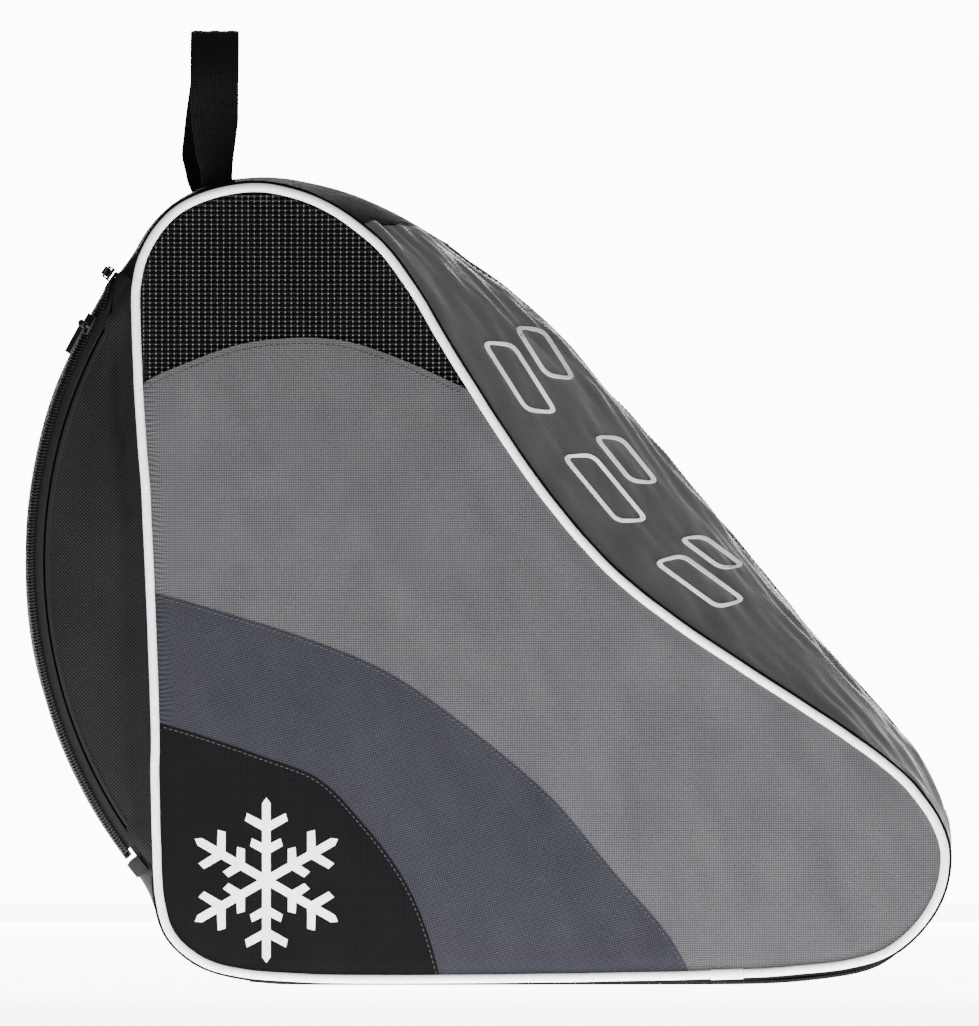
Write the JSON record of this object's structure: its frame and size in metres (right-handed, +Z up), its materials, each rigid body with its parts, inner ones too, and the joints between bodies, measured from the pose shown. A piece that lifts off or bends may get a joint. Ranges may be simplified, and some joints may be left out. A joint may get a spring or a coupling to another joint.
{
  "type": "skate bag",
  "caption": "Boot-shaped soft skate bag with piped side panels, a swelling slope gusset, a zipped door at the heel side and a webbing carry loop.",
  "frame": {"origin": "on the floor, under the middle of the bounding box", "axes": "+X towards the toe, +Z up, -Y the front side"},
  "size_m": [0.4813, 0.2002, 0.4975],
  "materials": {
    "grey_polyester": "matte woven",
    "open_mesh": "matte open mesh",
    "slate_polyester": "matte woven",
    "black_nylon": "matte woven nylon",
    "lining": "matte",
    "white_piping": "smooth coated",
    "satin_nylon": "satin woven",
    "stiffener_board": "matte",
    "welt_twill": "ribbed twill",
    "zip_coil": "satin",
    "webbing": "ribbed webbing",
    "zip_metal": "satin black"
  },
  "bodies": {
    "bag": {"side_panel_front": "grey_polyester", "side_panel_rear": "grey_polyester", "side_mesh_front": "open_mesh", "side_mesh_rear": "open_mesh", "side_band_front": "slate_polyester", "side_band_rear": "slate_polyester", "side_corner_front": "black_nylon", "side_corner_rear": "black_nylon", "top_panel": "black_nylon", "heel_panel": "black_nylon", "base_panel": "black_nylon", "bulge_side_front": "black_nylon", "bulge_side_rear": "black_nylon", "zip_end_tab_front": "black_nylon", "zip_end_tab_rear": "black_nylon", "hinge_binding": "black_nylon", "side_lining_front": "lining", "side_lining_rear": "lining", "crest_seam_tape": "lining", "piping_front": "white_piping", "piping_rear": "white_piping", "piping_join_front": "white_piping", "piping_join_rear": "white_piping", "slope_gusset_front": "satin_nylon", "slope_gusset_rear": "satin_nylon", "base_board": "stiffener_board", "welt_front": "welt_twill", "welt_rear": "welt_twill", "zip_tape_bag": "zip_coil", "zip_coil_bag": "zip_coil", "handle_foot_front": "webbing", "handle_foot_rear": "webbing"},
    "door": {"door_panel": "black_nylon", "zip_tape_door": "zip_coil", "zip_coil_door": "zip_coil"},
    "slider_front": {"zip_slider_front": "zip_metal"},
    "slider_top": {"zip_slider_top": "zip_metal"},
    "pull_front": {"zip_pull_front": "zip_metal"},
    "pull_top": {"zip_pull_top": "zip_metal"},
    "handle": {"handle_strap": "webbing"}
  },
  "joints": [
    {"name": "door_hinge", "type": "hinge", "parent": "bag", "child": "door", "pos_m": [-0.18749, 0, 0.06517], "axis": [0, -1, 0], "range_deg": [0, 85]},
    {"name": "front_slider_travel", "type": "hinge", "parent": "door", "child": "slider_front", "pos_m": [0.01746, 0, 0.22041], "axis": [0, -1, 0], "range_deg": [0, 60.5]},
    {"name": "top_slider_travel", "type": "slide", "parent": "door", "child": "slider_top", "axis": [0, 1, 0], "range_m": [0, 0.093]},
    {"name": "front_pull_hinge", "type": "hinge", "parent": "slider_front", "child": "pull_front", "pos_m": [-0.21025, -0.08749, 0.34366], "axis": [-0.5472, 0.7816, 0.2994], "range_deg": [0, 150]},
    {"name": "top_pull_hinge", "type": "hinge", "parent": "slider_top", "child": "pull_top", "pos_m": [-0.1986, -0.05475, 0.37126], "axis": [0.5725, 0, 0.8199], "range_deg": [0, 150]},
    {"name": "handle_tilt", "type": "hinge", "parent": "bag", "child": "handle", "pos_m": [-0.14237, 0, 0.43324], "axis": [0, -1, 0], "range_deg": [-60, 60], "stiffness_Nm_per_rad": 0.03}
  ]
}
